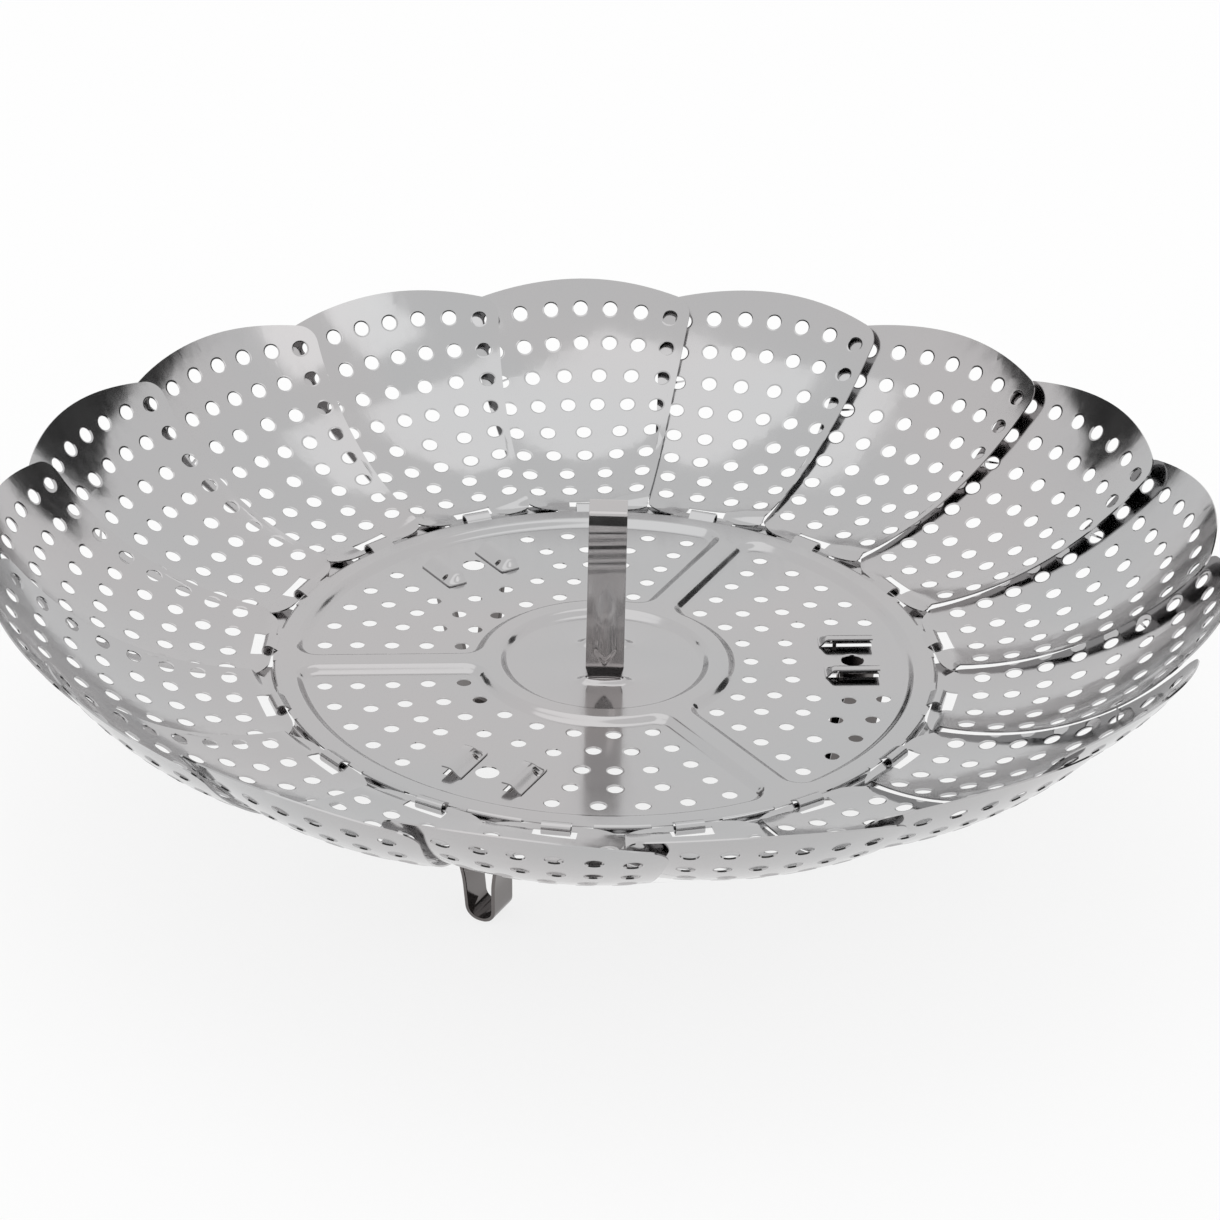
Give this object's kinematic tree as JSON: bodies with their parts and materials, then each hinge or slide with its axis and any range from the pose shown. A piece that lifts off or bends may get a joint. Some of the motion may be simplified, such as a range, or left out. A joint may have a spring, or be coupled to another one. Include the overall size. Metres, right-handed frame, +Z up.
{
  "type": "folding steamer basket",
  "caption": "Folding vegetable steamer basket: perforated plate on folding strip feet, ringed by hinged overlapping petals, with an upright strip handle.",
  "frame": {"origin": "on the surface that the basket stands on, under the middle of the plate", "axes": "+Z up along the plate's axis; +X towards foot_1; the handle's two legs stand on the Y axis"},
  "size_m": [0.2652, 0.265, 0.073],
  "materials": {
    "plate_steel": "polished stainless sheet",
    "petal_steel": "polished stainless sheet",
    "strip_steel": "polished stainless strip"
  },
  "bodies": {
    "plate": {"base_plate": "plate_steel"},
    "petal_01": {"petal_01": "petal_steel"},
    "petal_02": {"petal_02": "petal_steel"},
    "petal_03": {"petal_03": "petal_steel"},
    "petal_04": {"petal_04": "petal_steel"},
    "petal_05": {"petal_05": "petal_steel"},
    "petal_06": {"petal_06": "petal_steel"},
    "petal_07": {"petal_07": "petal_steel"},
    "petal_08": {"petal_08": "petal_steel"},
    "petal_09": {"petal_09": "petal_steel"},
    "petal_10": {"petal_10": "petal_steel"},
    "petal_11": {"petal_11": "petal_steel"},
    "petal_12": {"petal_12": "petal_steel"},
    "petal_13": {"petal_13": "petal_steel"},
    "petal_14": {"petal_14": "petal_steel"},
    "petal_15": {"petal_15": "petal_steel"},
    "petal_16": {"petal_16": "petal_steel"},
    "petal_17": {"petal_17": "petal_steel"},
    "foot_1": {"foot_1": "strip_steel"},
    "foot_2": {"foot_2": "strip_steel"},
    "foot_3": {"foot_3": "strip_steel"},
    "lift_handle": {"lift_handle": "strip_steel"}
  },
  "joints": [
    {"name": "petal_01_hinge", "type": "hinge", "parent": "plate", "child": "petal_01", "pos_m": [0.00064, 0.0732, 0.036], "axis": [1, -0.0087, 0], "range_deg": [0, 60]},
    {"name": "petal_02_hinge", "type": "hinge", "parent": "plate", "child": "petal_02", "pos_m": [0.02704, 0.06802, 0.036], "axis": [0.9293, -0.3694, 0], "range_deg": [0, 60]},
    {"name": "petal_03_hinge", "type": "hinge", "parent": "plate", "child": "petal_03", "pos_m": [0.04978, 0.05366, 0.036], "axis": [0.7331, -0.6801, 0], "range_deg": [0, 60]},
    {"name": "petal_04_hinge", "type": "hinge", "parent": "plate", "child": "petal_04", "pos_m": [0.06581, 0.03206, 0.036], "axis": [0.4379, -0.899, 0], "range_deg": [0, 60]},
    {"name": "petal_05_hinge", "type": "hinge", "parent": "plate", "child": "petal_05", "pos_m": [0.07294, 0.00612, 0.036], "axis": [0.0836, -0.9965, 0], "range_deg": [0, 60]},
    {"name": "petal_06_hinge", "type": "hinge", "parent": "plate", "child": "petal_06", "pos_m": [0.07023, -0.02065, 0.036], "axis": [-0.282, -0.9594, 0], "range_deg": [0, 60]},
    {"name": "petal_07_hinge", "type": "hinge", "parent": "plate", "child": "petal_07", "pos_m": [0.05803, -0.04462, 0.036], "axis": [-0.6096, -0.7927, 0], "range_deg": [0, 60]},
    {"name": "petal_08_hinge", "type": "hinge", "parent": "plate", "child": "petal_08", "pos_m": [0.03799, -0.06257, 0.036], "axis": [-0.8548, -0.519, 0], "range_deg": [0, 60]},
    {"name": "petal_09_hinge", "type": "hinge", "parent": "plate", "child": "petal_09", "pos_m": [0.01282, -0.07207, 0.036], "axis": [-0.9845, -0.1752, 0], "range_deg": [0, 60]},
    {"name": "petal_10_hinge", "type": "hinge", "parent": "plate", "child": "petal_10", "pos_m": [-0.01408, -0.07183, 0.036], "axis": [-0.9813, 0.1923, 0], "range_deg": [0, 60]},
    {"name": "petal_11_hinge", "type": "hinge", "parent": "plate", "child": "petal_11", "pos_m": [-0.03908, -0.0619, 0.036], "axis": [-0.8456, 0.5338, 0], "range_deg": [0, 60]},
    {"name": "petal_12_hinge", "type": "hinge", "parent": "plate", "child": "petal_12", "pos_m": [-0.0588, -0.0436, 0.036], "axis": [-0.5956, 0.8032, 0], "range_deg": [0, 60]},
    {"name": "petal_13_hinge", "type": "hinge", "parent": "plate", "child": "petal_13", "pos_m": [-0.07058, -0.01942, 0.036], "axis": [-0.2653, 0.9642, 0], "range_deg": [0, 60]},
    {"name": "petal_14_hinge", "type": "hinge", "parent": "plate", "child": "petal_14", "pos_m": [-0.07283, 0.00739, 0.036], "axis": [0.101, 0.9949, 0], "range_deg": [0, 60]},
    {"name": "petal_15_hinge", "type": "hinge", "parent": "plate", "child": "petal_15", "pos_m": [-0.06524, 0.0332, 0.036], "axis": [0.4535, 0.8912, 0], "range_deg": [0, 60]},
    {"name": "petal_16_hinge", "type": "hinge", "parent": "plate", "child": "petal_16", "pos_m": [-0.04884, 0.05452, 0.036], "axis": [0.7449, 0.6672, 0], "range_deg": [0, 60]},
    {"name": "petal_17_hinge", "type": "hinge", "parent": "plate", "child": "petal_17", "pos_m": [-0.02585, 0.06849, 0.036], "axis": [0.9356, 0.3531, 0], "range_deg": [0, 60]},
    {"name": "foot_1_fold", "type": "hinge", "parent": "plate", "child": "foot_1", "pos_m": [0.051, 0, 0.03565], "axis": [0, 1, 0], "range_deg": [0, 83]},
    {"name": "foot_2_fold", "type": "hinge", "parent": "plate", "child": "foot_2", "pos_m": [-0.0255, 0.04417, 0.03565], "axis": [-0.866, -0.5, 0], "range_deg": [0, 83]},
    {"name": "foot_3_fold", "type": "hinge", "parent": "plate", "child": "foot_3", "pos_m": [-0.0255, -0.04417, 0.03565], "axis": [0.866, -0.5, 0], "range_deg": [0, 83]},
    {"name": "handle_lift", "type": "slide", "parent": "plate", "child": "lift_handle", "axis": [0, 0, 1], "range_m": [0, 0.002]}
  ],
  "couplings": [
    {"joint": "petal_02_hinge", "follows": "petal_01_hinge", "ratio": 1},
    {"joint": "petal_03_hinge", "follows": "petal_01_hinge", "ratio": 1},
    {"joint": "petal_04_hinge", "follows": "petal_01_hinge", "ratio": 1},
    {"joint": "petal_05_hinge", "follows": "petal_01_hinge", "ratio": 1},
    {"joint": "petal_06_hinge", "follows": "petal_01_hinge", "ratio": 1},
    {"joint": "petal_07_hinge", "follows": "petal_01_hinge", "ratio": 1},
    {"joint": "petal_08_hinge", "follows": "petal_01_hinge", "ratio": 1},
    {"joint": "petal_09_hinge", "follows": "petal_01_hinge", "ratio": 1},
    {"joint": "petal_10_hinge", "follows": "petal_01_hinge", "ratio": 1},
    {"joint": "petal_11_hinge", "follows": "petal_01_hinge", "ratio": 1},
    {"joint": "petal_12_hinge", "follows": "petal_01_hinge", "ratio": 1},
    {"joint": "petal_13_hinge", "follows": "petal_01_hinge", "ratio": 1},
    {"joint": "petal_14_hinge", "follows": "petal_01_hinge", "ratio": 1},
    {"joint": "petal_15_hinge", "follows": "petal_01_hinge", "ratio": 1},
    {"joint": "petal_16_hinge", "follows": "petal_01_hinge", "ratio": 1},
    {"joint": "petal_17_hinge", "follows": "petal_01_hinge", "ratio": 1}
  ]
}
